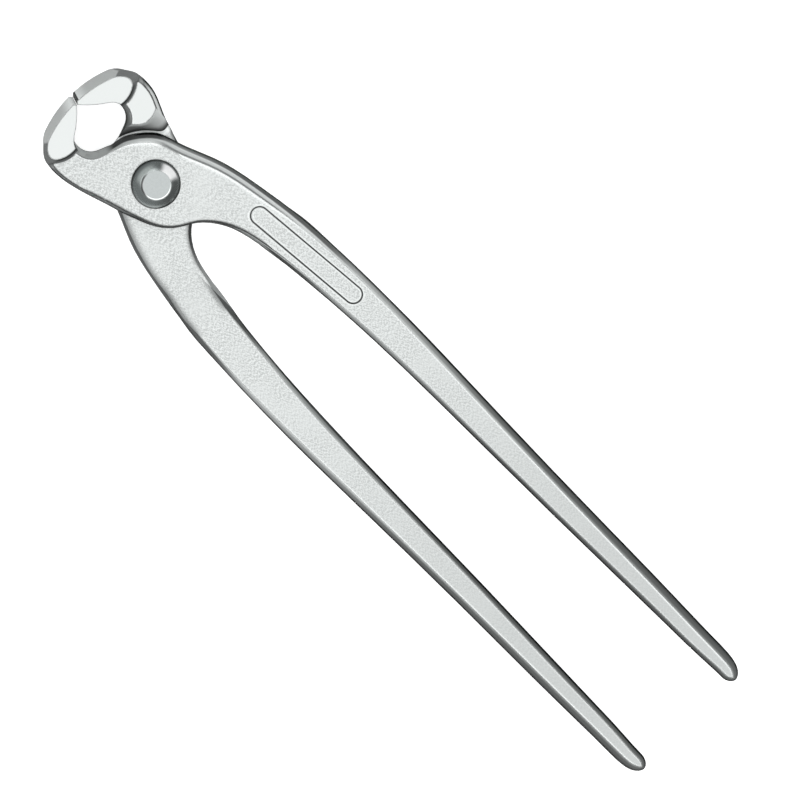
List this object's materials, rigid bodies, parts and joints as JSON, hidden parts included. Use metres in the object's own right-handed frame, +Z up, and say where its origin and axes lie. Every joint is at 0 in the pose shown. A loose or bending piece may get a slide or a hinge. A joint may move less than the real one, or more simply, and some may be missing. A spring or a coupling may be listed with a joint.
{
  "type": "rebar tying pliers",
  "caption": "Long bare drop-forged end cutters: crossed levers on a round-headed rivet, short broad end jaws round an eye, slim bowed handles, to twist and nip tying wire.",
  "frame": {"origin": "middle of the closed tool's length and width, on the plane of the lower jaw sides", "axes": "+X along the tool towards the handle ends, +Y across the tool, +Z up along the rivet's axis, towards the front lever's joint plate"},
  "size_m": [0.25, 0.0478, 0.018],
  "materials": {
    "plated_forging": "bright zinc-plated drop forging, fine forged texture on the flats, smooth ground jaw sides and end faces",
    "rivet_steel": "bright plated turned rivet, satin flat top"
  },
  "bodies": {
    "root": {"rear_lever": "plated_forging", "rivet": "rivet_steel"},
    "front": {"front_lever": "plated_forging"}
  },
  "joints": [
    {"name": "joint_rivet", "type": "hinge", "parent": "root", "child": "front", "pos_m": [-0.0921, 0, 0.009], "axis": [0, 0, 1], "range_deg": [0, 40]}
  ]
}
